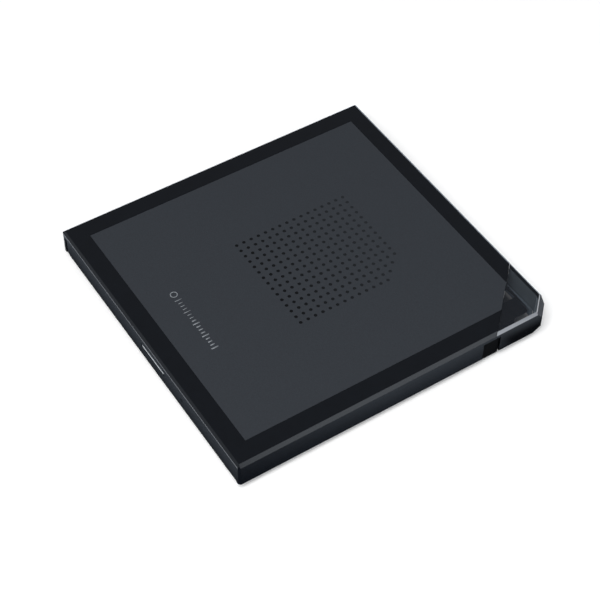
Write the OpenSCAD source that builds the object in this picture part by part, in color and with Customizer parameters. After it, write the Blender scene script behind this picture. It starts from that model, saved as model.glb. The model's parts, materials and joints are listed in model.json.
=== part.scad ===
// Slim external optical drive with a tray, a captive USB-C cable and a smoked corner window.
// +Z up, the tray opens towards -Y, origin at the middle of the underside, millimetres.

/* [Body] */
// Width of the body
body_w = 138; // [138:0.5:142]
// Depth of the body
body_d = 143; // [143:0.5:148]
// Height of the body, feet included
body_h = 14.5; // [14.5:0.1:16]
// Thickness of the cover walls
wall = 1.5; // [1.3:0.1:1.6]
// Width of the bevel round the top
bevel = 1.25; // [0.8:0.05:1.4]
// Height of the cover's lower edge over the surface the drive stands on
skirt_z = 3.2; // [2.8:0.1:3.4]

/* [Top] */
// Half width of the matte field
field_x = 60; // [50:0.5:62]
// Half depth of the matte field
field_y = 63.2; // [55:0.1:65]
// Spacing of the dimples
dot_step = 3.4; // [3:0.05:4]
// Diameter of a dimple
dot_d = 1.45; // [1:0.05:1.8]
// Sum of x and y along the window's diagonal seam
seam_sum = 113; // [108:0.5:118]

/* [Motion] */
// How far the tray opens
tray_travel = 124; // [60:1:124]
// How far the pickup sled runs
sled_travel = 32; // [20:1:32]

/* [Disc] */
// Radius of the disc
disc_r = 60; // [60:60]
// Radius of the hub that holds the disc
hub_r = 7.4; // [7.3:0.05:7.45]

/* [Cable] */
// Diameter of the cable
cable_d = 3.2; // [2.8:0.1:3.3]

/* [Hidden] */
$fn = 48;

hx = body_w / 2;
hy = body_d / 2;
top_z = body_h;
front_bevel = 0.9;        // bevel over the tray
edge_cut = 0.8;           // bevel on the upright corners
inner_x = hx - wall;
inner_y = hy - wall;
roof_z = top_z - 1.6;     // underside of the roof
mouth_z = top_z - 2.8;    // top of the tray mouth
mouth_x = hx - 2.1;
window_drop = 0.2;
notch = [38.1, 46.2];     // finger notch along the right side, low and high y
inlay_t = 0.4;
plate_z = 1;              // underside of the bottom cover
plate_top = 2.2;
bay_x = 45.8;             // inner wall of the cable bay
bay_roof = 6.4;
pan_x = 64;               // half width of the mechanism
pan_y0 = -66;
pan_y1 = 57.5;
pan_z = 2.6;
pan_top = 12.1;
sheet = 0.4;
step_x = 44.5;            // where the deep part of the mechanism ends
wing_z = 7.6;             // underside of the shallow wing
wing_y = 36.3;            // rear end of the wing
disc_x = -1;
disc_y = -5;
tray_z = 8.1;             // underside of the tray plate
tray_top = 10.9;
recess_z = 9.1;
disc_z = 9.4;             // underside of a loaded disc
bezel_y = -hy + 0.3;
travel_angle = 225;       // direction of the pickup's travel from the hub
rod_z = 6.1;
rod_v = 15.5;            // rods each side of the travel line
screw_v = 19.5;
ffc_x = 19.5;
ffc_w = 12;
cable_z = 3.3;
// The cable's centre line on the bay floor, from the grommet to the plug
cable_pts = [[32, 64], [35, 64], [38, 64], [41, 63.8], [43.6, 62.8], [45.8, 60.8], [47.2, 58],
  [47.7, 55], [47.7, 51], [47.7, 46], [47.7, 40], [47.7, 34], [47.7, 28], [47.7, 22], [47.7, 16],
  [47.7, 10], [47.7, 4], [47.7, -2], [47.7, -8], [47.7, -14], [47.7, -20], [47.7, -26],
  [47.7, -32], [47.7, -38], [47.7, -43], [48, -46], [49, -48.6], [50.6, -50.6], [53, -52],
  [56, -52.5], [59, -52], [61.4, -50.6], [63, -48.6], [64, -46], [64.3, -43], [64.3, -38],
  [64.3, -32], [64.3, -26], [64.3, -20], [64.3, -14], [64.1, -8], [63.2, -2], [61.6, 4],
  [59.7, 9], [57.8, 14], [56.4, 19.5], [56.2, 26.3]];
case_screw_at = [[-65.8, -61], [-65.8, 64], [20, 68.2], [-20, 68.2]];
plug_x = 56.2;
plug_z = 5.3;
shield_screw_at = [[-56, -62], [12, -58], [-56, 17], [12, 17]];
damper_at = [[-17.5, 0], [50, -23.6], [50, 23.6]];  // along and across the pickup's travel

module box(x0, x1, y0, y1, z0, z1) {
  translate([x0, y0, z0]) cube([x1 - x0, y1 - y0, z1 - z0]);
}
// A flat sheet with round corners
module slab(x0, x1, y0, y1, z0, z1, r = 1) {
  union() {
    box(x0 + r, x1 - r, y0, y1, z0, z1);
    box(x0, x1, y0 + r, y1 - r, z0, z1);
    for (x = [x0 + r, x1 - r], y = [y0 + r, y1 - r]) post(x, y, z0, z1, r);
  }
}
module post(x, y, z0, z1, r) {
  translate([x, y, z0]) cylinder(r = r, h = z1 - z0);
}
// Everything past the diagonal x + y = s, towards the window corner
module beyond(s, z0 = -1, z1 = 20) {
  rotate([0, 0, 45]) translate([s / sqrt(2), -120, z0]) cube([60, 240, z1 - z0]);
}
// A tool turned to the pickup's direction, with its origin at the disc's centre
module along_travel() {
  translate([disc_x, disc_y, 0]) rotate([0, 0, travel_angle]) children();
}
module screw_head(r, h) {
  difference() {
    cylinder(r = r, h = h);
    for (a = [0, 90]) rotate([0, 0, a]) translate([-r * 0.6, -0.15, h * 0.5]) cube([r * 1.2, 0.3, h]);
  }
}
// A chip-like block on a board
module chip(x, y, z, w, d, h) { box(x, x + w, y, y + d, z, z + h); }

// Outline of the closed body, bevelled on top and on its upright corners
module body_outline() {
  c = edge_cut;
  intersection() {
    linear_extrude(height = top_z) polygon([[-hx + c, -hy], [hx - c, -hy], [hx, -hy + c], [hx, hy],
      [-hx + c, hy], [-hx, hy - c], [-hx, -hy + c]]);
    translate([0, hy, 0]) rotate([90, 0, 0]) linear_extrude(height = body_d) polygon([[-hx, 0],
      [hx, 0], [hx, top_z - bevel], [hx - bevel, top_z], [-hx + bevel, top_z], [-hx, top_z - bevel]]);
    translate([-hx, 0, 0]) rotate([90, 0, 90]) linear_extrude(height = body_w) polygon([[-hy, 0],
      [hy, 0], [hy, top_z - bevel], [hy - bevel, top_z], [-hy + front_bevel, top_z],
      [-hy, top_z - front_bevel]]);
  }
}
module shell_inside() {
  box(-inner_x, inner_x, -inner_y, inner_y, 0, roof_z);
}
module skirt_and_notch_cuts() {
  box(-hx - 1, hx + 1, -hy - 1, hy + 1, -1, skirt_z);
  box(inner_x - 1, hx + 1, notch[0], notch[1], -1, mouth_z);
}
module top_cover() color("#1c1e22") {
  difference() {
    body_outline();
    shell_inside();
    skirt_and_notch_cuts();
    box(-mouth_x, mouth_x, -hy - 1, -hy + 4.2, -1, mouth_z);
    beyond(seam_sum - 0.1);
    intersection() {
      box(-field_x - 0.1, field_x + 0.1, -field_y - 0.1, field_y + 0.1, top_z - inlay_t, top_z + 1);
      rotate([0, 0, 45]) translate([-200, -150, 0]) cube([200 + seam_sum / sqrt(2), 300, 30]);
    }
  }
  // Bosses for the case screws
  for (p = case_screw_at) difference() {
    post(p[0], p[1], plate_top + 0.1, roof_z + 0.1, 1.5);
    post(p[0], p[1], plate_top, roof_z - 1, 0.7);
  }
}
module cover_panel() color("#3a3d42") difference() {
  box(-field_x, field_x, -field_y, field_y, top_z - inlay_t, top_z);
  beyond(seam_sum - 0.1);
  for (i = [0:15], j = [0:14]) if (i + j <= 26)
    translate([(j - 7) * dot_step, -16.2 + i * dot_step, top_z - 0.25]) cylinder(d = dot_d, h = 1, $fn = 16);
}
module corner_window() color("#2b2e33", 0.6) {
  s1 = (hx + hy - 8.6) / sqrt(2);
  s2 = (hx + hy - 8) / sqrt(2);
  s3 = (hx + hy - 5) / sqrt(2);
  s4 = s3 - 3.13;           // undercut at the corner's foot
  z0 = top_z - window_drop;
  difference() {
    intersection() {
      body_outline();
      beyond(seam_sum, 0, z0);
      rotate([0, 0, 45]) translate([0, 100, 0]) rotate([90, 0, 0]) linear_extrude(height = 200)
        polygon([[0, 0], [s4, 0], [s4, skirt_z - 0.5], [s3, skirt_z + 2.2], [s3, top_z - 4],
          [s2, z0 - 0.45], [s1, z0], [0, z0]]);
    }
    intersection() {
      shell_inside();
      rotate([0, 0, 45]) translate([0, 100, 0]) rotate([90, 0, 0]) linear_extrude(height = 200)
        polygon([[0, 0], [s4 - 0.6, 0], [s4 - 0.6, 6.1], [s3 - wall, 8.1], [s3 - wall, 10],
          [s3 - 4.7, 14.9], [0, 14.9]]);
    }
    skirt_and_notch_cuts();
  }
  // Tabs bonded under the roof
  for (t = [-12, 0, 12]) rotate([0, 0, 45]) translate([seam_sum / sqrt(2), t - 3, roof_z]) {
    translate([-3, 0, -0.9]) cube([4.5, 6, 0.8]);
    translate([0.3, 0, -0.9]) cube([1.2, 6, 1.2]);
  }
}
// A soft pad that closes the finger notch from inside
module finger_pad() color("#0d0d0e") {
  box(66.3, 68.3, notch[0] + 0.2, notch[1] - 0.2, 2, mouth_z - 0.2);
  box(65.9, inner_x, notch[0] - 0.8, notch[1] + 0.8, 4.8, mouth_z - 0.1);
}
module bottom_cover() color("#17181b") difference() {
  union() {
    difference() {
      union() {
        box(-66.4, 66.4, -70.6, 69.6, plate_z, plate_top);
        box(-inner_x + 0.3, inner_x - 0.3, -67, inner_y - 0.3, plate_top, 4.4);
      }
      box(-inner_x + 1.5, 44.6, -65.9, inner_y - 1.5, plate_top, 9);
      difference() {
        box(44.5, inner_x - 1.5, -60, inner_y - 1.5, -1, 9);
        beyond(128);
      }
      beyond(129.8);
      box(-hx, hx, -68, -61.5, plate_top, 9);
    }
    box(bay_x - 1, inner_x - 0.3, -61, wing_y, bay_roof, 7.2);
    box(bay_x - 1, bay_x, -61, 55, plate_z, 7.2);
    box(bay_x - 1, inner_x - 0.3, -61, -60, plate_z, 7.2);
    // Snap ribs that hold the cable down
    for (y = [-34, 4, 24]) box(bay_x - 0.2, bay_x + 1.2, y - 2, y + 2, plate_z, 1.55);
    for (y = [-34, -14]) {
      box(64.6, 66.4, y - 2, y + 2, plate_z, 1.55);
      box(66.05, 66.4, y - 2, y + 2, plate_z, plate_top + 0.1);
    }
  }
  // The groove that carries the cable round the mechanism's rear corner
  box(34.2, 50, 61.2, 66.2, -1, 9);
  box(43, 50, 55.2, 66.2, -1, 9);
  box(25.8, 34.4, 61.4, 66.6, -1, 9);
  box(66, hx, notch[0] - 0.3, notch[1] + 0.3, -1, 9);
  for (p = case_screw_at) {
    post(p[0], p[1], -1, 9, 0.9);
    post(p[0], p[1], -1, plate_z + 0.6, 1.6);
    post(p[0], p[1], plate_top, 9, 2);
  }
  for (x = [-56, 36], y = [-60, 48]) post(x, y, -1, plate_z + 0.4, 5.2);
}
module rubber_feet() color("#0d0d0e") for (x = [-56, 36], y = [-60, 48]) {
  post(x, y, 0.4, plate_z + 0.4, 5);
  post(x, y, 0, 0.4, 4.6);
}
module case_screws() color("#9a9ca0")
  for (p = case_screw_at) translate([p[0], p[1], plate_z + 0.6])
    union() {
      translate([0, 0, -0.5]) mirror([0, 0, 1]) translate([0, 0, -0.5]) screw_head(1.4, 0.5);
      cylinder(r = 0.7, h = 6);
    }
module cable_grommet() color("#101011") difference() {
  union() {
    box(26.2, 34, 61.8, 66.2, plate_z + 0.3, 5.6);
    box(27, 29, 60.6, 67.4, plate_top + 0.1, 5.6);
  }
  translate([24, 64, cable_z]) rotate([0, 90, 0]) cylinder(d = cable_d + 0.02, h = 12);
}

// A round tube swept along points in the plane z = z0
function ring(p, d, r, z0, n) = [for (k = [0:n - 1]) let (a = 360 * k / n)
  [p[0] - d[1] * r * cos(a), p[1] + d[0] * r * cos(a), z0 + r * sin(a)]];
function unit(v) = v / norm(v);
function heading(pts, i) = unit(pts[min(i + 1, len(pts) - 1)] - pts[max(i - 1, 0)]);
module tube(pts, r, z0, n) {
  m = len(pts);
  points = [for (i = [0:m - 1]) each ring(pts[i], heading(pts, i), r, z0, n)];
  sides = [for (i = [0:m - 2], k = [0:n - 1]) each [
    [i * n + k, i * n + (k + 1) % n, (i + 1) * n + k],
    [i * n + (k + 1) % n, (i + 1) * n + (k + 1) % n, (i + 1) * n + k]]];
  caps = [[for (k = [n - 1:-1:0]) k], [for (k = [0:n - 1]) (m - 1) * n + k]];
  polyhedron(points = points, faces = concat([for (f = sides) [f[0], f[2], f[1]]],
    [[for (k = [0:n - 1]) k]], [[for (k = [n - 1:-1:0]) (m - 1) * n + k]]));
}
module usb_cable() color("#111214") tube(cable_pts, cable_d / 2, cable_z, 8);

// Obround bar along Y
module plug_bar(w, t, y0, y1, z) {
  translate([plug_x, y1, z]) rotate([90, 0, 0]) linear_extrude(height = y1 - y0) union() {
    square([w - t, t], center = true);
    for (s = [-1, 1]) translate([s * (w - t) / 2, 0]) circle(d = t);
  }
}
module plug_overmould() color("#141518") difference() {
  union() {
    translate([plug_x, 0, plug_z - 2.6]) linear_extrude(height = 5.2)
      polygon([[-6.3, 39.8], [-5, 38.3], [5, 38.3], [6.3, 39.8], [6.3, 57.9], [4.6, 60.1],
        [-4.6, 60.1], [-6.3, 57.9]]);
    translate([plug_x, 39.3, cable_z]) rotate([90, 0, 0]) cylinder(r1 = 2.2, r2 = 1.9, h = 14);
  }
  translate([plug_x, 26.3, cable_z]) rotate([90, 0, 0])
    cylinder(d = cable_d + 0.02, h = 2);
  plug_bar(8.34, 2.56, 53.3, 61.3, plug_z);
}
module plug_shell() color("#8d8f93") difference() {
  plug_bar(8.34, 2.56, 53.3, 66.6, plug_z);
  plug_bar(7.7, 1.96, 56.3, 67.3, plug_z);
}
module plug_insert() color("#0b0b0c") difference() {
  plug_bar(7.66, 1.92, 56.3, 66.3, plug_z);
  box(plug_x - 3.3, plug_x + 3.3, 61.3, 67.3, plug_z - 0.36, plug_z + 0.36);
}
module plug_clip() color("#1a1b1e") {
  // Two sprung fingers on a foot that is bonded to the bay's end
  for (s = [-1, 1]) translate([plug_x, 0, 0]) box(s * 7.1 - 0.4, s * 7.1 + 0.4, wing_y + 0.2, 46, 5.1, 7);
  box(plug_x - 7.5, plug_x + 7.5, wing_y, wing_y + 0.5, 6.2, 7.2);
  box(plug_x - 7.5, plug_x + 7.5, wing_y + 0.2, 46, 8.2, 8.9);
  for (s = [-1, 1]) translate([plug_x, 0, 0]) box(s * 7.1 - 0.4, s * 7.1 + 0.4, wing_y + 0.2, 46, 6.9, 8.3);
}
module bridge_board() color("#1d5a3a") difference() {
  box(-60, 24, 58.6, 66.4, 4.8, 5.8);
  for (x = [-57, 21]) post(x, 64, 0, 9, 1.1);
}
module bridge_chips() color("#0e0e10") {
  chip(-14, 60.2, 5.8, 6, 6, 0.9);
  chip(2, 61, 5.8, 4, 4.5, 0.9);
  for (i = [0:5]) chip(-4 + 2.2 * (i % 3), 60.4 + 2.6 * floor(i / 3), 5.8, 1.2, 0.7, 0.6);
  chip(12, 60.5, 5.8, 3.2, 2.5, 1.1);
}
module bridge_connector() color("#19191b") difference() {
  box(-52, -26, 58.3, 62.5, 5.8, 9.4);
  box(-50, -28, 57, 60.5, 6.6, 8.4);
}

// Sheet-metal mechanism shell: a deep part, a shallow wing on the right, and an open front
module pan_plan(inset, z0, z1) {
  linear_extrude(height = z1 - z0) polygon([[-pan_x + inset, pan_y0],
    [pan_x - inset, pan_y0], [pan_x - inset, wing_y - inset], [step_x - inset, wing_y - inset],
    [step_x - inset, pan_y1 - inset], [-pan_x + inset, pan_y1 - inset]]);
}
module chassis_pan() color("#a7aaad") difference() {
  translate([0, 0, pan_z]) pan_plan(0, pan_z, pan_top - 0.3);
  translate([0, -1, wing_z + sheet]) pan_plan(sheet, 0, 20);
  box(step_x - sheet, pan_x - sheet, wing_y - 2, wing_y - sheet, wing_z + sheet, 20);
  box(-pan_x + sheet, step_x - sheet, pan_y0 - 1, pan_y1 - sheet, pan_z + sheet, 20);
  box(step_x, pan_x + 1, pan_y0 - 1, wing_y + 1, 0, wing_z);
  box(-50.5, -27.5, 56, 59, 6.2, 8.8);
  for (x = [-40, -10, 20]) slab(x - 8, x + 8, -30, -22, 0, pan_z + 1, 3);
}
module chassis_cover() color("#b0b3b6") difference() {
  translate([0, 0, pan_top - 0.3]) pan_plan(0, 0, 0.3);
  for (p = [[-62.8, -58], [-62.8, 50], [62.6, -58], [62.6, 30]]) post(p[0], p[1], 0, 20, 0.45);
}
module chassis_screws() color("#77797c")
  for (p = [[-62.8, -58], [-62.8, 50], [62.6, -58], [62.6, 30]]) translate([p[0], p[1], pan_top]) {
    screw_head(0.9, 0.35);
    translate([0, 0, -0.7]) cylinder(r = 0.4, h = 0.75);
  }
module latch_post() color("#c8cacc") {
  post(34, -44, pan_z + sheet, 5.4, 1.1);
  post(34, -44, pan_z + sheet, pan_z + sheet + 0.4, 1.8);
}
module guide_left() color("#ded9cc") {
  box(-63.5, -62.8, pan_y0 + 1, 56, 3.6, 7.8);
  for (z = [3.6, 7.4]) box(-62.8, -61.6, pan_y0 + 1, 56, z, z + 0.4);
  box(-63.5, -62.3, pan_y0 + 1, 56, 3.1, 3.6);
}
module guide_right() color("#ded9cc") {
  box(62.9, 63.5, pan_y0 + 1, 34, 8.1, 11.3);
  for (z = [8.1, 10.9]) box(62, 62.9, pan_y0 + 1, 34, z, z + 0.4);
}
module main_board() color("#1f6a41") {
  box(-57, 14, 22, 55, 3.5, 4.3);
  box(13.5, 33, 48.6, 55, 3.5, 4.3);
  for (p = [[-54, 25], [-54, 52], [10, 25], [10, 52]]) post(p[0], p[1], pan_z + sheet, 3.5, 1.5);
}
module main_chips() color("#0e0e10") {
  chip(-40, 30, 4.3, 14, 14, 1);
  chip(-20, 28, 4.3, 7, 11, 0.9);
  chip(-8, 32, 4.3, 8, 6, 0.9);
  for (i = [0:11]) chip(-20 + 2.4 * (i % 6), 42.5 + 2.5 * floor(i / 6), 4.3, 1.4, 0.8, 0.6);
  for (i = [0:3]) chip(2 + 2.6 * i, 40, 4.3, 1.6, 3, 0.9);
}
module sata_plug() color("#17171a") {
  box(-49.8, -28.2, 57, 60.2, 6.8, 8.2);
  box(-51, -27, 56.1, 57.1, 4.3, 8.7);
  box(-51, -27, 54, 57.1, 4.3, 5.9);
}
module ffc_connector() color("#e4dfd2") difference() {
  box(18.2, 32.6, 44.4, 48.6, 3.05, 5);
  box(19.2, 31.8, 43, 47, 3.05, 3.55);
}
module ffc_lower() color("#d9dde0") box(ffc_x, ffc_x + ffc_w, -8, 46.5, 3.1, 3.3);
module ffc_bend() color("#d9dde0") translate([ffc_x, -8.05, 4.2]) rotate([90, 0, 90])
  linear_extrude(height = ffc_w) difference() {
    circle(r = 1.1);
    circle(r = 0.9);
    translate([0, -3]) square([3, 6]);
  }
module ffc_upper() color("#d9dde0") {
  box(ffc_x, ffc_x + ffc_w, -8, tray_travel / 2 - 8, 5.1, 5.3);
}
module rail_left() color("#c9ccce") difference() {
  box(-62.5, -60.2, -62, 54, 4.6, 7.1);
  for (y = [-48, -16, 16, 42]) slab(-63, -61.6, y - 6, y + 6, 5.3, 6.4, 0.3);
}
module rail_right() color("#c9ccce") difference() {
  box(61, 62.6, -62, 33, 9, 10.1);
  for (y = [-46, -14, 18]) box(62.2, 63, y - 6, y + 6, 9.3, 9.8);
}
// The tray's missing corner over the cable bay, and the groove that the right rail runs in
module tray_corner_cuts() {
  box(step_x - 1, 70, wing_y - 1.2, 70, 0, 20);
  box(60.6, 70, -70, 60, tray_z + 0.5, tray_top - 0.5);
}
module disc_tray() color("#1b1c1f") difference() {
  union() {
    difference() {
      box(-62.4, 61.7, -66.4, 55.8, tray_z, recess_z);
      tray_corner_cuts();
    }
    box(-59.9, -58.7, -66.4, 55.8, 3.7, tray_z + 0.1);
    box(-61.3, -59.8, -66.4, 55.8, 7.4, tray_z + 0.1);
    box(-61.3, -59.8, -66.4, 55.8, 3.7, 4.3);
    box(42.3, 43.5, -66.4, 55.8, 3.7, tray_z + 0.1);
    box(-59.9, 43.5, 54.6, 55.8, 6.2, tray_z + 0.1);
    box(-59.9, 43.5, -66.4, -65.2, 3.7, tray_z + 0.1);
    along_travel() for (s = [-1, 1]) box(2, 48, s * 27.5 - 0.6, s * 27.5 + 0.6, 4.6, tray_z + 0.1);
    for (p = shield_screw_at) post(p[0], p[1], 3.6, tray_z + 0.1, 1.3);
  }
  for (p = shield_screw_at) post(p[0], p[1], 0, 7.2, 0.48);
  // Openings for the hub and for the pickup's run
  post(disc_x, disc_y, 0, 20, 15.5);
  along_travel() slab(10, 62, -15, 15, 0, 20, 3);
  // Button, light and emergency hole in the front wall
  box(-4.5, 14.5, -67, -65, 4.8, 8);
  translate([26.9, -60, 7.1]) rotate([90, 0, 0]) cylinder(r = 0.9, h = 8);
  translate([-52, 50, 7]) rotate([-90, 0, 0]) cylinder(r = 0.65, h = 8);
  box(16, 37, 54, 56, 0, 6.5);
}
// The raised edge round the disc's recess
module tray_rim() color("#1b1c1f") difference() {
  box(-62.4, 61.7, -66.4, 56.3, recess_z, tray_top);
  tray_corner_cuts();
  post(disc_x, disc_y, 0, 20, disc_r + 0.7);
}
module tray_shield() color("#a7aaad") difference() {
  box(-58.4, 15, -64.8, 20, 3.3, 3.6);
  for (i = [0:2]) slab(-50 + 20 * i, -38 + 20 * i, 4, 12, 0, 9, 2);
  for (p = shield_screw_at) post(p[0], p[1], 0, 9, 0.5);
}
module tray_screws() color("#77797c") for (p = shield_screw_at) {
  post(p[0], p[1], 3.2, 7, 0.45);
  post(p[0], p[1], 3.1, 3.3, 1.1);
}
module front_bezel() color("#232529") difference() {
  union() {
    slab(-mouth_x + 0.35, mouth_x - 0.35, bezel_y, bezel_y + 2, skirt_z + 0.1, mouth_z - 0.3, 0.4);
    box(-60, 43, bezel_y + 1.9, -66.4, 4.4, 5);
    box(-60, 60, bezel_y + 1.9, -66.4, 9.6, 10.4);
    for (x = [-58, -30, 41, 58]) box(x - 0.6, x + 0.6, bezel_y + 1.9, -66.4, 8.4, 10.4);
  }
  // Button slot and the emergency eject hole
  slab(-3.9, 14, bezel_y - 1, bezel_y + 3, 7.5, 9.5, 0.5);
  translate([26.9, bezel_y + 3, 7.1]) rotate([90, 0, 0]) cylinder(r = 0.6, h = 8);
  translate([26.9, bezel_y + 0.4, 7.1]) rotate([90, 0, 0]) cylinder(r1 = 0.6, r2 = 1.1, h = 0.5);
}
module eject_button() color("#b9bcc0") union() {
  slab(-3.5, 12.9, bezel_y + 0.15, bezel_y + 3.4, 7.9, 9.1, 0.3);
  box(-4.3, 12.8, bezel_y + 2.6, bezel_y + 3.8, 7.2, 9.4);
}
module light_pipe() color("#dfe6ea", 0.7) {
  box(13.2, 13.8, bezel_y + 0.3, -67, 7.9, 9.1);
  box(13.2, 13.8, -68, -62.9, 7.2, 7.95);
}
module front_board() color("#1d5a3a") box(-8, 18, -62.9, -62.1, 4.4, 8.05);
module tact_switch() color("#2a2b2e") {
  box(2.4, 7, -64.9, -62.9, 5.8, 8);
  box(3.9, 5.5, -66.6, -64.9, 7.25, 7.95);
}
module latch_lever() color("#dcd7c9") difference() {
  union() {
    post(26, -50, 5.6, 7.2, 2.2);
    box(25, 27.6, -61.5, -50, 6.3, 7.2);
    translate([26, -50, 5.6]) rotate([0, 0, 43]) translate([0, -1, 0]) cube([9.4, 2, 1.6]);
    box(30.8, 32.4, -44, -40.6, 3.9, 7.2);
    box(30.8, 34.8, -42.4, -40.6, 3.9, 5.6);
    box(20.5, 26, -51, -49, 5.6, 7.2);
  }
  post(26, -50, 0, 9, 0.85);
}
module solenoid() color("#8b6a3e") difference() {
  union() {
    box(16.4, 24.5, -61.6, -55.6, 3.9, 7.9);
    // Pin that the latch lever turns on
    post(26, -50, 3.9, 8.1, 0.8);
    box(24, 27, -57, -49.2, 3.7, 4.1);
    box(20, 24.4, -57, -55.4, 3.7, 4.1);
  }
  translate([21, -53, 6.4]) rotate([90, 0, 0]) cylinder(r = 1.05, h = 7);
}
module solenoid_plunger() color("#b8babd") {
  translate([21, -51.4, 6.4]) rotate([90, 0, 0]) cylinder(r = 1, h = 6.6);
  translate([21, -51.3, 6.4]) rotate([90, 0, 0]) cylinder(r = 1.4, h = 0.6);
}
module kick_pin() color("#c8cacc") {
  translate([-52, 40, 7]) rotate([-90, 0, 0]) cylinder(r = 0.6, h = 17);
  translate([-52, 54, 7]) rotate([-90, 0, 0]) cylinder(r = 1, h = 0.5);
}
module kick_spring() color("#8f9194") for (i = [0:15]) translate([-52, 41 + 0.8 * i, 7]) rotate([-90, 0, 0])
  rotate_extrude($fn = 24) translate([0.82, 0]) circle(r = 0.14, $fn = 13);
module traverse_frame() color("#b9bcbe") along_travel() difference() {
  union() {
    translate([0, 0, 4.2]) linear_extrude(height = 0.6) polygon([[-21, -5], [-21, 5], [-6, 21.5],
      [44, 21.5], [46, 26], [52.5, 26], [57, 22], [61.8, 18], [61.8, -18], [57, -22], [52.5, -26],
      [46, -26], [44, -21.5], [-6, -21.5]]);
    for (u = [13.5, 60.7], s = [-1, 1]) box(u - 0.8, u + 0.8, s * rod_v - 1.6, s * rod_v + 1.6, 4.7, 7.4);
  }
  post(0, 0, 0, 9, 13);
  slab(15, 59.4, -13.6, 13.6, 0, 9, 2);
  for (p = damper_at) post(p[0], p[1], 0, 9, 1.6);
  for (s = [-1, 1]) translate([0, s * rod_v, rod_z]) rotate([0, 90, 0]) cylinder(r = 0.8, h = 80);
}
module dampers() color("#222326") along_travel() for (p = damper_at) difference() {
  union() {
    post(p[0], p[1], 3.7, 4.15, 2.6);
    post(p[0], p[1], 3.7, 5.6, 1.5);
    post(p[0], p[1], 4.85, 5.6, 2.4);
  }
  post(p[0], p[1], 0, 9, 0.75);
}
module damper_screws() color("#77797c") along_travel()
  for (p = damper_at) post(p[0], p[1], 3.9, tray_z, 0.7);
module spindle_motor() color("#8f9295") translate([disc_x, disc_y, 0]) difference() {
  union() {
    post(0, 0, 3.9, 4.2, 14.6);
    post(0, 0, 4.2, 6.4, 3.6);
    for (i = [0:8]) rotate([0, 0, 40 * i]) box(3.3, 9.5, -1.1, 1.1, 4.7, 6.2);
  }
  post(0, 0, 4.1, 9, 1.05);
}
module turntable() color("#c3c5c8") translate([disc_x, disc_y, 0]) difference() {
  union() {
    post(0, 0, 4.15, 8, 1);
    post(0, 0, 6.9, 8.4, 11);
    post(0, 0, 8.4, 9.1, 14);
    post(0, 0, 9.1, 10.7, hub_r);
    translate([0, 0, 10.7]) cylinder(r1 = hub_r, r2 = hub_r - 0.7, h = 0.7);
    difference() {
      post(0, 0, 4.6, 8, 11);
      post(0, 0, 4, 7, 10.4);
    }
  }
  // Slots that free three sprung claws in the hub
  for (a = [0:120:240]) rotate([0, 0, a]) for (s = [-1, 1])
    box(4, 9, s * 1.6 - 0.15, s * 1.6 + 0.15, 9.5, 12);
}
module hub_pad() color("#1a1a1b") difference() {
  post(disc_x, disc_y, 9.1, disc_z, 13.6);
  post(disc_x, disc_y, 9, 10, 10.5);
}
module guide_rods() color("#d4d6d8") along_travel() for (s = [-1, 1])
  translate([12.7, s * rod_v, rod_z]) rotate([0, 90, 0]) cylinder(r = 0.8, h = sled_travel + 16.8);
module stepper_motor() color("#9b9ea1") along_travel() difference() {
  union() {
    intersection() {
      translate([4, screw_v, 6.2]) rotate([0, 90, 0]) cylinder(r = 2.4, h = 7);
      box(0, 12, 15, 30, 4.9, 7.9);
    }
    box(4, 58, screw_v + 1, screw_v + 1.4, 4.8, 6);
    for (u = [11, 57.4]) box(u - 0.1, u + 0.5, screw_v - 1.2, screw_v + 1.4, 4.8, 7.6);
  }
  translate([8, screw_v, 6.2]) rotate([0, 90, 0]) cylinder(r = 0.65, h = 60);
}
module lead_screw() color("#caccce") along_travel() {
  translate([8.2, screw_v, 6.2]) rotate([0, 90, 0]) cylinder(r = 0.6, h = 49.6);
  translate([11.8, screw_v, 6.2]) rotate([0, 90, 0]) cylinder(r = 0.8, h = 45.2);
}
module pickup_sled() color("#54575b") along_travel() difference() {
  union() {
    box(18, 27.5, -12.4, 12.4, 5.1, 7.6);
    for (s = [-1, 1]) box(18, 27.5, s * 15 - 3, s * 15 + 3, 5.1, 7.3);
    box(19, 23, 17.8, 18.4, 5.6, 6.8);
  }
  for (s = [-1, 1]) translate([10, s * rod_v, rod_z]) rotate([0, 90, 0]) cylinder(r = 0.86, h = 30);
  box(20, 27, -6, 6, 6.2, 9);
}
module pickup_cover() color("#c0c3c5") along_travel() difference() {
  box(18.2, 27.3, -11, 11, 7.6, 7.85);
  box(20.4, 26.6, -5.6, 5.6, 7, 9);
}
module lens_holder() color("#1e1f22") along_travel() difference() {
  box(21, 26, -4.6, 4.6, 6.9, 7.6);
  post(23.5, 0, 6, 9, 1.9);
}
module objective_lens() color("#8fb4d8", 0.6) along_travel() {
  post(23.5, 0, 7, 7.5, 1.9);
  translate([23.5, 0, 7.5]) intersection() {
    translate([0, 0, -3.2]) sphere(r = 3.6);
    cylinder(r = 1.5, h = 1);
  }
}

top_cover();
cover_panel();
corner_window();
finger_pad();
bottom_cover();
rubber_feet();
case_screws();
cable_grommet();
usb_cable();
plug_overmould();
plug_shell();
plug_insert();
plug_clip();
bridge_board();
bridge_chips();
bridge_connector();
chassis_pan();
chassis_cover();
chassis_screws();
latch_post();
guide_left();
guide_right();
main_board();
main_chips();
sata_plug();
ffc_connector();
ffc_lower();
ffc_bend();
ffc_upper();
rail_left();
rail_right();
disc_tray();
tray_rim();
tray_shield();
tray_screws();
front_bezel();
front_board();
tact_switch();
light_pipe();
eject_button();
latch_lever();
solenoid();
solenoid_plunger();
kick_pin();
kick_spring();
traverse_frame();
dampers();
damper_screws();
spindle_motor();
turntable();
hub_pad();
guide_rods();
stepper_motor();
lead_screw();
pickup_sled();
pickup_cover();
lens_holder();
objective_lens();
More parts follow.
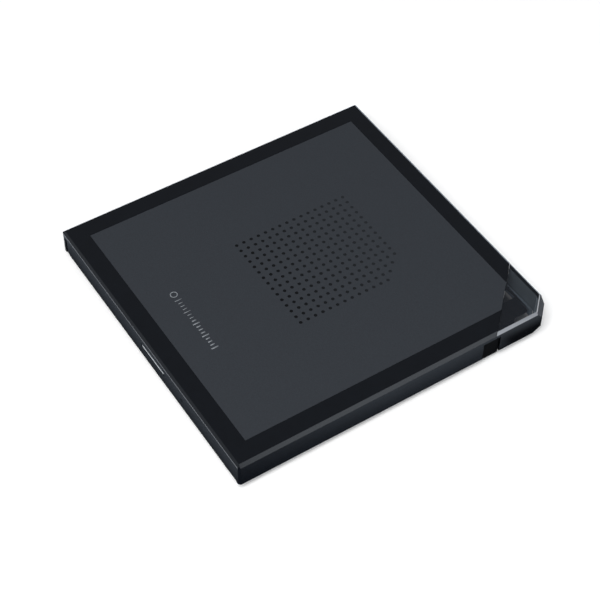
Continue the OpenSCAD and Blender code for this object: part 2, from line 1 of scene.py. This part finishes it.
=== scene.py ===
"""Looks of the slim external optical drive: materials, cable, springs, windings, mark and studio."""
import json
import math

import bmesh
import bpy
from mathutils import Matrix, Vector


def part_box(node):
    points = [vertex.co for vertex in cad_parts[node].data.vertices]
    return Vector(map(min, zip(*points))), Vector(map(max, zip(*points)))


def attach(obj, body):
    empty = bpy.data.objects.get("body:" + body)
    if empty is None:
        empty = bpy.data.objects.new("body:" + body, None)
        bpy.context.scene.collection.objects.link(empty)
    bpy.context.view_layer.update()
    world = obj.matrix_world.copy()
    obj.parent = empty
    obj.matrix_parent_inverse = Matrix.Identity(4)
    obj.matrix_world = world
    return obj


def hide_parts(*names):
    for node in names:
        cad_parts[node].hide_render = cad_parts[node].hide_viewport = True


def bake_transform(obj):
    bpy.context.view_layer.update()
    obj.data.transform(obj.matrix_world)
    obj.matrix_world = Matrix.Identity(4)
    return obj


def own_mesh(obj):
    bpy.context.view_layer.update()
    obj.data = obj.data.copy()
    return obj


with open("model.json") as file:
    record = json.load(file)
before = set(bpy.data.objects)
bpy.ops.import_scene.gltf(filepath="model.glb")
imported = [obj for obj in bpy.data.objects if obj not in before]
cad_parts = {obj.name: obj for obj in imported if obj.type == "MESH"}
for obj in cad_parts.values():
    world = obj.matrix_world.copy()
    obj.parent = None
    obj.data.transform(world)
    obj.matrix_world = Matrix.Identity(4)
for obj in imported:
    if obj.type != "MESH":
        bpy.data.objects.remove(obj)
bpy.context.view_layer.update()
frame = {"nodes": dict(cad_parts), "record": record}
nodes = frame["nodes"]
MM = 0.001
scene = bpy.context.scene


def corner(node, side):
    """Lowest (0) or highest (1) corner of a CAD node, in millimetres."""
    return Vector(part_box(node)[side]) / MM


TOP = corner("cover_panel", 1).z
DOT_STEP = 3.4    # the dimples' spacing, radius and first row, as on the cover panel
DOT_R = 0.725
DOT_ROW = -16.2
HUB = (corner("hub_pad", 0) + corner("hub_pad", 1)) / 2

# ---------------------------------------------------------------- camera
CAMERA_AT = Vector((353.8, -231.4, 468.2 + TOP)) * MM
CAMERA_LOOK = Vector((-0.5486, 0.3570, -0.7560)).normalized()
CAMERA_UP = Vector((-0.6389, 0.4043, 0.6545))
SENSOR = 36.0
LENS = 95.5


def add_camera():
    right = CAMERA_LOOK.cross(CAMERA_UP).normalized()
    up = right.cross(CAMERA_LOOK).normalized()
    data = bpy.data.cameras.new("camera")
    data.lens, data.sensor_width, data.clip_start = LENS, SENSOR, 0.01
    cam = bpy.data.objects.new("camera", data)
    turn = Matrix((right, up, -CAMERA_LOOK)).transposed().to_4x4()
    cam.matrix_world = Matrix.Translation(CAMERA_AT) @ turn
    scene.collection.objects.link(cam)
    scene.camera = cam


add_camera()


# ---------------------------------------------------------------- materials
def surface(name, color, rough=0.5, metal=0.0, grain=0.0, scale=600.0, mottle=0.06, spread=0.08,
            spec=0.5, coat=0.0, stretch=(1, 1, 1), transmission=0.0, ior=1.46, alpha=1.0):
    """Procedural surface: mottled colour, uneven roughness and a fine grain, sized per metre."""
    m = bpy.data.materials.new(name)
    m.use_nodes = True
    tree = m.node_tree
    shader = tree.nodes["Principled BSDF"]
    link = tree.links.new
    place = tree.nodes.new("ShaderNodeTexCoord")
    mapping = tree.nodes.new("ShaderNodeMapping")
    mapping.inputs["Scale"].default_value = stretch
    link(place.outputs["Object"], mapping.inputs["Vector"])
    fine = tree.nodes.new("ShaderNodeTexNoise")
    fine.inputs["Scale"].default_value = scale
    fine.inputs["Detail"].default_value = 4
    wide = tree.nodes.new("ShaderNodeTexNoise")
    wide.inputs["Scale"].default_value = scale / 12
    wide.inputs["Detail"].default_value = 3
    for noise in (fine, wide):
        link(mapping.outputs["Vector"], noise.inputs["Vector"])
    tint = tree.nodes.new("ShaderNodeValToRGB")
    tint.color_ramp.elements[0].color = [c * (1 - mottle) for c in color[:3]] + [1]
    tint.color_ramp.elements[1].color = [min(1, c * (1 + mottle)) for c in color[:3]] + [1]
    tint.color_ramp.elements[0].position, tint.color_ramp.elements[1].position = 0.35, 0.65
    link(fine.outputs["Fac"], tint.inputs["Fac"])
    link(tint.outputs["Color"], shader.inputs["Base Color"])
    uneven = tree.nodes.new("ShaderNodeMapRange")
    uneven.inputs["To Min"].default_value = max(0.02, rough * (1 - spread))
    uneven.inputs["To Max"].default_value = min(1, rough * (1 + spread))
    link(wide.outputs["Fac"], uneven.inputs["Value"])
    link(uneven.outputs["Result"], shader.inputs["Roughness"])
    if grain:
        bump = tree.nodes.new("ShaderNodeBump")
        bump.inputs["Strength"].default_value = grain
        bump.inputs["Distance"].default_value = 0.00005
        link(fine.outputs["Fac"], bump.inputs["Height"])
        link(bump.outputs["Normal"], shader.inputs["Normal"])
    shader.inputs["Metallic"].default_value = metal
    shader.inputs["Specular IOR Level"].default_value = spec
    shader.inputs["Coat Weight"].default_value = coat
    shader.inputs["Transmission Weight"].default_value = transmission
    shader.inputs["IOR"].default_value = ior
    shader.inputs["Alpha"].default_value = alpha
    return m


def add_fade(material, axis, start, end, color):
    """Shifts a surface's colour to another one from start to end metres along an axis."""
    tree = material.node_tree
    link = tree.links.new
    base = tree.nodes["Principled BSDF"].inputs["Base Color"]
    split = tree.nodes.new("ShaderNodeSeparateXYZ")
    link(tree.nodes.new("ShaderNodeTexCoord").outputs["Object"], split.inputs[0])
    amount = tree.nodes.new("ShaderNodeMapRange")
    amount.inputs["From Min"].default_value = start
    amount.inputs["From Max"].default_value = end
    link(split.outputs[axis], amount.inputs["Value"])
    mix = tree.nodes.new("ShaderNodeMix")
    mix.data_type = "RGBA"
    link(amount.outputs["Result"], mix.inputs["Factor"])
    link(base.links[0].from_socket, mix.inputs["A"])
    mix.inputs["B"].default_value = (*color, 1)
    link(mix.outputs["Result"], base)


STEEL = dict(metal=1.0, rough=0.32, scale=900, spread=0.25)
LOOK = {
    "gloss_black": surface("gloss_black", (0.0036, 0.0048, 0.0072), 0.13, scale=300, spec=0.24,
                           spread=0.2),
    # The cover's lip, with a painted highlight along its top
    "cover_lip_painted_glint": surface("cover_lip_painted_glint", (0.0036, 0.0045, 0.006), 0.2, scale=300, spec=0.1),
    "matte_graphite": surface("matte_graphite", (0.0235, 0.0275, 0.034), 0.62, grain=0.35, scale=2600,
                              mottle=0.10, spec=0.28),
    "smoked": surface("smoked", (0.015, 0.018, 0.024), 0.06, scale=120, mottle=0.02, alpha=0.4,
                      spread=0.15, spec=0.42),
    # Painted highlight: the smoked window's bevels in a bright grey
    "smoked_painted_bright_bevel": surface("smoked_painted_bright_bevel", (0.21, 0.22, 0.24), 0.25, scale=300, mottle=0.02,
                           spec=0.35),
    # Painted shade: the smoked window's sides in near black
    "smoked_painted_dark_side": surface("smoked_painted_dark_side", (0.0018, 0.0022, 0.003), 0.16, scale=300, mottle=0.05,
                           spec=0.25),
    # Painted light: the smoked window's facet in an even dull grey
    "smoked_painted_grey_facet": surface("smoked_painted_grey_facet", (0.055, 0.058, 0.064), 0.4, scale=300, mottle=0.05,
                            spec=0.02),
    # Painted light: the smoked window's inside faces in a lit grey
    "smoked_painted_lit_inside": surface("smoked_painted_lit_inside", (0.35, 0.42, 0.48), 0.5, scale=300, mottle=0.05,
                            spec=0.1),
    # Painted glint on the narrow bevel above the smoked window's facet
    "smoked_painted_glint": surface("smoked_painted_glint", (0.36, 0.37, 0.39), 0.25, scale=300, mottle=0.02,
                            spec=0.3),
    # Painted light on the cover's inside round the stowed plug
    "bay_floor_painted_light": surface("bay_floor_painted_light", (0.26, 0.32, 0.38), 0.5, scale=600, mottle=0.1, spec=0.1),
    "dark_plastic": surface("dark_plastic", (0.012, 0.0125, 0.014), 0.55, grain=0.6, scale=1800),
    "black_rubber": surface("black_rubber", (0.0025, 0.0028, 0.0034), 0.78, grain=0.5, scale=1500,
                            mottle=0.15, spec=0.07),
    "cable_jacket": surface("cable_jacket", (0.009, 0.010, 0.012), 0.5, grain=0.3, scale=2200),
    "screw_steel": surface("screw_steel", (0.42, 0.43, 0.45), **STEEL),
    "plug_steel": surface("plug_steel", (0.016, 0.017, 0.020), metal=1.0, rough=0.4, scale=1200,
                          stretch=(1, 0.08, 1), spread=0.3),
    "board_green": surface("board_green", (0.010, 0.075, 0.035), 0.35, scale=260, mottle=0.3, coat=0.3),
    "chip_black": surface("chip_black", (0.012, 0.012, 0.013), 0.6, grain=0.4, scale=3000),
    "sheet_steel": surface("sheet_steel", (0.46, 0.47, 0.48), metal=1.0, rough=0.38, scale=500,
                           stretch=(0.06, 1, 1), mottle=0.08, spread=0.3, grain=0.08),
    "bright_steel": surface("bright_steel", (0.62, 0.63, 0.65), metal=1.0, rough=0.2, scale=1500,
                            spread=0.3),
    "cream_plastic": surface("cream_plastic", (0.55, 0.51, 0.42), 0.45, scale=800, grain=0.1),
    "flex": surface("flex", (0.50, 0.55, 0.62), 0.3, scale=1600, stretch=(1, 0.02, 1), mottle=0.25),
    "tray_plastic": surface("tray_plastic", (0.011, 0.0115, 0.013), 0.5, grain=0.5, scale=2000),
    "bezel_plastic": surface("bezel_plastic", (0.010, 0.012, 0.0155), 0.3, grain=0.08, scale=1500,
                             spec=0.13),
    "button_plastic": surface("button_plastic", (0.05, 0.053, 0.058), 0.3, scale=700, grain=0.05,
                              spec=0.2),
    # A painted highlight along the eject button
    "button_painted_highlight": surface("button_painted_highlight", (0.50, 0.53, 0.56), 0.3, scale=700),
    "light_pipe": surface("light_pipe", (0.55, 0.60, 0.65), 0.35, scale=900, transmission=0.4),
    "copper": surface("copper", (0.55, 0.22, 0.09), metal=0.9, rough=0.34, scale=2500,
                      stretch=(1, 0.05, 1), mottle=0.3, grain=0.3),
    "lens_glass": surface("lens_glass", (0.25, 0.42, 0.75), 0.04, scale=500, transmission=0.6),
    "sled_metal": surface("sled_metal", (0.20, 0.205, 0.22), metal=0.8, rough=0.5, grain=0.5,
                          scale=1400),
    "print_grey": surface("print_grey", (0.20, 0.215, 0.235), 0.5, scale=1500, grain=0.1),
    "dimple_dark": surface("dimple_dark", (0.004, 0.0045, 0.0055), 0.7, scale=1500, spec=0.1),
    "floor": surface("floor", (0.9, 0.9, 0.9), 0.7, scale=60, mottle=0.004, spec=0.2),
}

# Painted highlight: the lip turns light grey above 12.8 mm, a glint painted along its top edge
add_fade(LOOK["cover_lip_painted_glint"], "Z", 0.0127, 0.0128, (0.11, 0.115, 0.125))
add_fade(LOOK["dimple_dark"], "Y", -0.012, 0.036, (0.016, 0.018, 0.021))


def paint(obj, look):
    obj.data.materials.clear()
    obj.data.materials.append(LOOK[look])


# ---------------------------------------------------------------- pieces
def soften(obj, width, segments=2):
    """Welds a shape's seams, rounds its edges and evens its shading."""
    weld = obj.modifiers.new("weld", "WELD")
    weld.merge_threshold = 0.002 * MM
    bevel = obj.modifiers.new("bevel", "BEVEL")
    bevel.width, bevel.segments = width * MM, segments
    bevel.limit_method, bevel.angle_limit = "ANGLE", math.radians(38)
    bevel.use_clamp_overlap = True
    even = obj.modifiers.new("even", "WEIGHTED_NORMAL")
    even.keep_sharp = False


def add_piece(name, mesh, body, look, stands_for=()):
    obj = bpy.data.objects.new(name, mesh)
    scene.collection.objects.link(obj)
    if look:
        paint(obj, look)
    if body:
        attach(obj, body)
    if stands_for:
        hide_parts(*stands_for)
    return obj


def mesh_of(name, build, smooth=True):
    """A mesh that build() draws in millimetres."""
    bm = bmesh.new()
    build(bm)
    bmesh.ops.scale(bm, vec=(MM, MM, MM), verts=bm.verts)
    bmesh.ops.recalc_face_normals(bm, faces=bm.faces)
    mesh = bpy.data.meshes.new(name)
    bm.to_mesh(mesh)
    bm.free()
    for face in mesh.polygons:
        face.use_smooth = smooth
    return mesh


def add_tube(bm, path, radius, sides=12, closed=False):
    """Sweeps a round section along points, with radius a number or a function of the step."""
    size = radius if callable(radius) else (lambda i: radius)
    count = len(path)
    normal = None
    rings = []
    for i, p in enumerate(path):
        after = path[(i + 1) % count] if closed else path[min(i + 1, count - 1)]
        before = path[i - 1] if closed or i else path[0]
        along = (after - before).normalized()
        if normal is None:
            normal = along.orthogonal().normalized()
        normal = (normal - along * normal.dot(along)).normalized()
        side = along.cross(normal)
        rings.append([bm.verts.new(p + size(i) * (normal * math.cos(a) + side * math.sin(a)))
                      for a in (2 * math.pi * k / sides for k in range(sides))])
    for i in range(count if closed else count - 1):
        a, b = rings[i], rings[(i + 1) % count]
        for k in range(sides):
            bm.faces.new((a[k], a[(k + 1) % sides], b[(k + 1) % sides], b[k]))
    if not closed:
        bm.faces.new(rings[0][::-1])
        bm.faces.new(rings[-1])


def add_block(bm, low, high):
    low, high = Vector(low), Vector(high)
    made = bmesh.ops.create_cube(bm, size=1)["verts"]
    bmesh.ops.scale(bm, vec=high - low, verts=made)
    bmesh.ops.translate(bm, vec=(low + high) / 2, verts=made)


def smooth_path(points, step):
    """Catmull-Rom points through the given ones, about step millimetres apart."""
    out = []
    for i in range(len(points) - 1):
        p0, p1 = points[max(i - 1, 0)], points[i]
        p2, p3 = points[i + 1], points[min(i + 2, len(points) - 1)]
        parts = max(1, round((p2 - p1).length / step))
        for k in range(parts):
            t = k / parts
            out.append(0.5 * (2 * p1 + (p2 - p0) * t + (2 * p0 - 5 * p1 + 4 * p2 - p3) * t ** 2
                              + (3 * p1 - p0 - 3 * p2 + p3) * t ** 3))
    return out + [points[-1]]


# The cable's centre line in the bay, from the grommet to the plug's boot
CABLE_Z = 3.3
CABLE_D = 3.2
CABLE = [(32, 64), (35, 64), (38, 64), (41, 63.8), (43.6, 62.8), (45.8, 60.8), (47.2, 58), (47.7, 55),
         (47.7, 46), (47.7, 34), (47.7, 22), (47.7, 10), (47.7, -2), (47.7, -14), (47.7, -26),
         (47.7, -38), (47.7, -43), (48, -46), (49, -48.6), (50.6, -50.6), (53, -52), (56, -52.5),
         (59, -52), (61.4, -50.6), (63, -48.6), (64, -46), (64.3, -43), (64.3, -32), (64.3, -20),
         (64.1, -8), (63.2, -2), (61.6, 4), (59.7, 9), (57.8, 14), (56.4, 19.5), (56.2, 26.3)]


def add_cable():
    route = smooth_path([Vector((x, y, CABLE_Z)) for x, y in CABLE], 1.2)
    mesh = mesh_of("cable", lambda bm: add_tube(bm, route, CABLE_D / 2, 16))
    add_piece("cable_run", mesh, "case", "cable_jacket", ["usb_cable"])

    def ribs(bm):
        x = (corner("plug_overmould", 0).x + corner("plug_overmould", 1).x) / 2
        boot_r, boot_end, spacing = 2.02, 27.7, 1.7
        for k in range(6):
            y = boot_end + spacing * k
            circle = [Vector((x + boot_r * math.cos(a), y, CABLE_Z + boot_r * math.sin(a)))
                      for a in (2 * math.pi * j / 28 for j in range(28))]
            add_tube(bm, circle, 0.22, 8, closed=True)
    add_piece("boot_ribs", mesh_of("ribs", ribs), "case", "black_rubber")


def helix(start, axis, radius, pitch, turns, per_turn=20):
    axis = axis.normalized()
    side = axis.orthogonal().normalized()
    up = axis.cross(side)
    steps = int(turns * per_turn)
    return [start + axis * (pitch * i / per_turn)
            + radius * (side * math.cos(2 * math.pi * i / per_turn)
                        + up * math.sin(2 * math.pi * i / per_turn)) for i in range(steps + 1)]


def add_springs_and_thread():
    low, high = corner("kick_spring", 0), corner("kick_spring", 1)
    middle = (low + high) / 2
    start = Vector((middle.x, low.y + 0.15, middle.z))
    pitch = 0.8
    coil = helix(start, Vector((0, 1, 0)), 0.82, pitch, (high.y - low.y - 0.3) / pitch)
    mesh = mesh_of("kick_coil", lambda bm: add_tube(bm, coil, 0.14, 8))
    add_piece("kick_coil", mesh, "tray", "bright_steel", ["kick_spring"])
    low, high = corner("lead_screw", 0), corner("lead_screw", 1)
    along = Vector((-1, -1, 0)).normalized()
    middle = (low + high) / 2
    lead, half_length = 3, 20    # the screw's lead matches the sled's coupling
    thread = helix(middle - along * half_length, along, 0.68, lead, 13, 24)
    mesh = mesh_of("screw_thread", lambda bm: add_tube(bm, thread, 0.13, 6))
    add_piece("screw_thread", mesh, "screw", "bright_steel")


def add_windings():
    """Six turns of wire on each of the spindle motor's nine arms."""
    arms, rows = 9, 6

    def coils(bm):
        for k in range(arms):
            turn = Matrix.Rotation(math.radians(360 / arms * k), 3, "Z")
            for row in range(rows):
                r = 4.0 + 0.62 * row
                loop = [Vector((r, y, z)) for y, z in ((-1.35, 4.6), (1.35, 4.6), (1.5, 5.4),
                                                       (1.35, 6.3), (-1.35, 6.3), (-1.5, 5.4))]
                centre = Vector((HUB.x, HUB.y, 0))
                add_tube(bm, [centre + turn @ p for p in loop], 0.28, 6, closed=True)
    add_piece("stator_windings", mesh_of("coils", coils), "tray", "copper")


def flex_strip(node):
    """The flat cable's leg as a strip with enough rows to stretch evenly."""
    low, high = corner(node, 0), corner(node, 1)

    def leg(bm):
        steps = 60
        for i in range(steps):
            y0 = low.y + (high.y - low.y) * i / steps
            add_block(bm, (low.x, y0, low.z), (high.x, y0 + (high.y - low.y) / steps, high.z))
        bmesh.ops.remove_doubles(bm, verts=bm.verts, dist=0.001)
        inner = [f for f in bm.faces if abs(f.normal.y) > 0.9
                 and low.y + 0.1 < f.calc_center_median().y < high.y - 0.1]
        bmesh.ops.delete(bm, geom=inner, context="FACES")
    return low * MM, high * MM, mesh_of(node + "_strip", leg, False)


def add_flex():
    """The flat cable's two legs as strips: the lower one fixed in place, the upper one carried by the
    tray.
    """
    low, high, mesh = flex_strip("ffc_lower")
    lower = add_piece("flex_leg", mesh, None, "flex", ["ffc_lower"])
    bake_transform(lower)
    low, high, mesh = flex_strip("ffc_upper")
    upper = add_piece("flex_upper", mesh, "tray", "flex", ["ffc_upper"])
    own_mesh(upper)


def add_mark():
    """A plain ring and a row of 17 ticks, printed near the front edge."""
    y, ring_x, ring_r = -50.4, -14.6, 1.35
    first_tick, tick_step = -11.2, 1.75

    def print_marks(bm):
        ring = [Vector((ring_x + ring_r * math.cos(a), y + ring_r * math.sin(a), 0))
                for a in (2 * math.pi * k / 40 for k in range(40))]
        add_tube(bm, ring, 0.2, 6, closed=True)
        for k in range(17):
            x = first_tick + tick_step * k
            half = 0.9 if k % 4 else 1.5
            wide = 0.15 if k < 7 else 0.27
            add_block(bm, (x - wide, y - half, -0.3), (x + wide, y + half, 0.3))
    mesh = mesh_of("mark", print_marks)
    # Flattened to a film of ink on the panel
    for v in mesh.vertices:
        v.co.z = (TOP + 0.012) * MM + v.co.z * 0.03
    add_piece("top_mark", mesh, "case", "print_grey")


def add_dimple_wells():
    """Dark floors in the dimples of the matte field."""
    def wells(bm):
        for i in range(16):
            for j in range(15):
                if i + j <= 26:
                    x, y = (j - 7) * DOT_STEP, DOT_ROW + i * DOT_STEP
                    add_tube(bm, [Vector((x, y, TOP - 0.2)), Vector((x, y, TOP - 0.05))],
                             DOT_R - 0.03, 20)
    mesh = mesh_of("wells", wells, False)
    add_piece("dimple_wells", mesh, "case", "dimple_dark")


def add_painted_button_highlight():
    """A thin strip along the eject button, a painted highlight in light grey."""
    low, high = corner("eject_button", 0), corner("eject_button", 1)
    y = low.y

    def strip(bm):
        add_block(bm, (low.x + 1.0, y - 0.05, high.z - 1.42), (high.x + 0.1, y + 0.3, high.z - 0.62))
    add_piece("button_painted_highlight", mesh_of("button_painted_highlight", strip, False), "button", "button_painted_highlight")


def window_look(normal, center, high):
    """The look of one of the window's faces, from the way it faces and where it lies: the clear smoked
    roof, or painted copies of the smoked plastic, lit or shaded by how light falls on that face.
    """
    past_seam = 116    # x + y, three past the diagonal seam with the cover
    wall = 1.2    # less than the shell's thickness
    if normal.y < -0.9 and center.x > high.x - 2.5 and center.z < high.z - 2:
        return "smoked_painted_dark_side"
    if abs(normal.z) > 0.95 or center.x + center.y < past_seam:
        return "smoked"
    inside = center.x < high.x - wall and center.y < high.y - wall
    if inside and (normal.x < -0.3 or normal.y < -0.3):
        return "smoked_painted_lit_inside"
    if normal.x > 0.3 and normal.y > 0.3:
        facet_slope = 0.64    # the narrow bevel over the facet lies flatter than this
        return "smoked_painted_glint" if normal.z > facet_slope else "smoked_painted_grey_facet"
    bevelled = normal.z > 0.3 and center.z > high.z - 1.6
    return "smoked_painted_bright_bevel" if bevelled else "smoked_painted_dark_side"


def add_window():
    """The smoked corner: a clear roof, and painted light and shade on the rest: bevels painted bright,
    a facet painted dull grey with a painted glint, sides painted dark and an inside painted lighter."""
    mesh = nodes["corner_window"].data.copy()
    mesh.name = "window_shell"
    mesh.materials.clear()
    looks = ("smoked", "smoked_painted_bright_bevel", "smoked_painted_dark_side", "smoked_painted_grey_facet", "smoked_painted_lit_inside", "smoked_painted_glint")
    for look in looks:
        mesh.materials.append(LOOK[look])
    high = corner("corner_window", 1)
    for face in mesh.polygons:
        face.material_index = looks.index(window_look(face.normal, face.center / MM, high))
    obj = add_piece("window_shell", mesh, "case", None, ["corner_window"])
    soften(obj, 0.1)


SOFT_EDGES = {"top_cover": 0.22, "front_bezel": 0.12, "bottom_cover": 0.25, "plug_overmould": 0.55,
              "rubber_feet": 0.3, "disc_tray": 0.12, "eject_button": 0.1}
LEFT_PLAIN = {"cover_panel", "usb_cable", "kick_spring", "corner_window", "ffc_lower", "ffc_upper"}


def add_second_look(node, look, chosen):
    """Gives a CAD node's faces another look where chosen(normal, centre in millimetres) says so."""
    mesh = nodes[node].data
    mesh.materials.append(LOOK[look])
    for face in mesh.polygons:
        if chosen(face.normal, face.center / MM):
            face.material_index = 1


def dress_cad():
    slots = {s["node"]: s["material_slot"] for s in frame["record"]["subparts"]}
    for name, obj in nodes.items():
        paint(obj, slots[name])
        if name not in LEFT_PLAIN:
            low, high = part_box(name)
            thin = min(h - l for l, h in zip(low, high)) / MM
            soften(obj, SOFT_EDGES.get(name, min(0.1, thin * 0.12)))
    # A painted highlight: a bright line painted along the top of the lip over the tray's mouth
    front = corner("top_cover", 0).y + 0.1
    add_second_look("top_cover", "cover_lip_painted_glint", lambda n, c: n.y < -0.9 and c.y < front)
    # Painted light: the cover's inside round the stowed plug is painted a lighter grey, as lit through
    # the window
    bay_side, bay_corner = 42, 108    # least x or y, and least x + y
    add_second_look("bottom_cover", "bay_floor_painted_light", lambda n, c: c.x + c.y > bay_corner
                    and min(c.x, c.y) > bay_side and max(n.x, n.y) < 0.5 and n.z > -0.5)


dress_cad()
add_window()
add_cable()
add_springs_and_thread()
add_windings()
add_flex()
add_mark()
add_dimple_wells()
add_painted_button_highlight()


# ---------------------------------------------------------------- studio
def paint_floor_shade(material):
    """The floor is plain to the eye. Glossy sides see a painted shadow on it that darkens towards the
    drive and its front, and rays that have passed the smoked window see a painted shade under the
    drive."""
    tree = material.node_tree
    link = tree.links.new

    def math_node(operation, a, b=None):
        node = tree.nodes.new("ShaderNodeMath")
        node.operation = operation
        for socket, value in zip(node.inputs, (a, b)):
            if isinstance(value, (int, float)):
                socket.default_value = value
            elif value is not None:
                link(value, socket)
        return node.outputs[0]

    def ramp(value, low, high, start, end):
        node = tree.nodes.new("ShaderNodeMapRange")
        for name, number in zip(("From Min", "From Max", "To Min", "To Max"), (low, high, start, end)):
            node.inputs[name].default_value = number
        link(value, node.inputs["Value"])
        return node.outputs[0]

    place = tree.nodes.new("ShaderNodeTexCoord")
    split = tree.nodes.new("ShaderNodeSeparateXYZ")
    link(place.outputs["Object"], split.inputs[0])
    x, y = split.outputs["X"], split.outputs["Y"]
    side_x, side_y = corner("top_cover", 1).xy * MM
    away = math_node("MAXIMUM", math_node("SUBTRACT", math_node("ABSOLUTE", x), side_x),
                     math_node("SUBTRACT", math_node("ABSOLUTE", y), side_y))
    # Painted shadow seen in glossy sides: dark next to the drive, and along its rear with a steeper
    # rise
    reach = 0.0092
    near = ramp(away, 0.0, reach, 0.02, 0.52)
    steep = ramp(away, 0.0045, reach, 0.03, 0.72)
    rear = ramp(y, 0.050, 0.056, 0.0, 1.0)
    near = math_node("ADD", math_node("MULTIPLY", near, math_node("SUBTRACT", 1.0, rear)),
                     math_node("MULTIPLY", steep, rear))
    # The painted shadow is darker towards the front too, on the right side only
    front = ramp(y, -0.078, 0.0, 0.12, 1.0)
    beside = ramp(x, side_x + 0.0005, side_x + 0.0015, 0.0, 1.0)
    keep = math_node("ADD", math_node("MULTIPLY", beside, front), math_node("SUBTRACT", 1.0, beside))
    value = math_node("MULTIPLY", near, keep)
    tone = tree.nodes.new("ShaderNodeCombineColor")
    for name, share in (("Red", 0.9), ("Green", 1.02), ("Blue", 1.18)):
        link(math_node("MULTIPLY", value, share), tone.inputs[name])
    dim = tree.nodes.new("ShaderNodeBsdfDiffuse")
    link(tone.outputs[0], dim.inputs["Color"])
    rays = tree.nodes.new("ShaderNodeLightPath")
    mix = tree.nodes.new("ShaderNodeMixShader")
    link(rays.outputs["Is Glossy Ray"], mix.inputs[0])
    link(tree.nodes["Principled BSDF"].outputs[0], mix.inputs[1])
    link(dim.outputs[0], mix.inputs[2])
    # Painted shade seen through the window: under the drive and short of the cut corner
    shade = tree.nodes.new("ShaderNodeBsdfDiffuse")
    link(ramp(x, 0.053, 0.057, 0.1, 0.6), shade.inputs["Color"])
    under = tree.nodes.new("ShaderNodeMixShader")
    foot = ramp(math_node("ADD", x, y), 0.1285, 0.1305, 0.0, 1.0)
    clear = math_node("SUBTRACT", 1.0, rays.outputs["Transparent Depth"])
    beyond = math_node("MAXIMUM", ramp(away, -0.004, -0.001, 0.0, 1.0), foot)
    link(math_node("MAXIMUM", beyond, clear), under.inputs[0])
    link(shade.outputs[0], under.inputs[1])
    link(mix.outputs[0], under.inputs[2])
    output = next(n for n in tree.nodes if n.type == "OUTPUT_MATERIAL")
    link(under.outputs[0], output.inputs["Surface"])


def add_floor():
    mesh = bpy.data.meshes.new("floor")
    side = 4.0
    mesh.from_pydata([(-side, -side, 0), (side, -side, 0), (side, side, 0), (-side, side, 0)], [],
                     [(0, 1, 2, 3)])
    floor = bpy.data.objects.new("floor", mesh)
    scene.collection.objects.link(floor)
    paint(floor, "floor")
    shader = LOOK["floor"].node_tree.nodes["Principled BSDF"]
    shader.inputs["Emission Color"].default_value = (1, 1, 1, 1)
    shader.inputs["Emission Strength"].default_value = 0.12
    paint_floor_shade(LOOK["floor"])


def add_softbox(name, direction, distance, size, power, color=(1, 1, 1)):
    data = bpy.data.lights.new(name, "AREA")
    data.shape, data.size, data.energy, data.color = "SQUARE", size, power, color
    light = bpy.data.objects.new(name, data)
    at = Vector(direction).normalized() * distance
    light.matrix_world = Matrix.Translation(at) @ at.to_track_quat("Z", "Y").to_matrix().to_4x4()
    scene.collection.objects.link(light)


def add_studio():
    world = bpy.data.worlds.new("studio")
    world.use_nodes = True
    background = world.node_tree.nodes["Background"]
    background.inputs["Color"].default_value = (1, 1, 1, 1)
    background.inputs["Strength"].default_value = 0.3
    scene.world = world
    add_softbox("overhead", (0.35, -0.45, 1.0), 1.6, 1.1, 26)
    add_softbox("right_rear", (0.756, 0.357, 0.5), 1.5, 0.5, 2.9, (0.86, 0.93, 1))
    add_softbox("left_front", (-0.55, -0.76, 0.36), 1.5, 0.6, 0.85, (0.86, 0.93, 1))
    scene.view_settings.view_transform = "Standard"


add_floor()
add_studio()
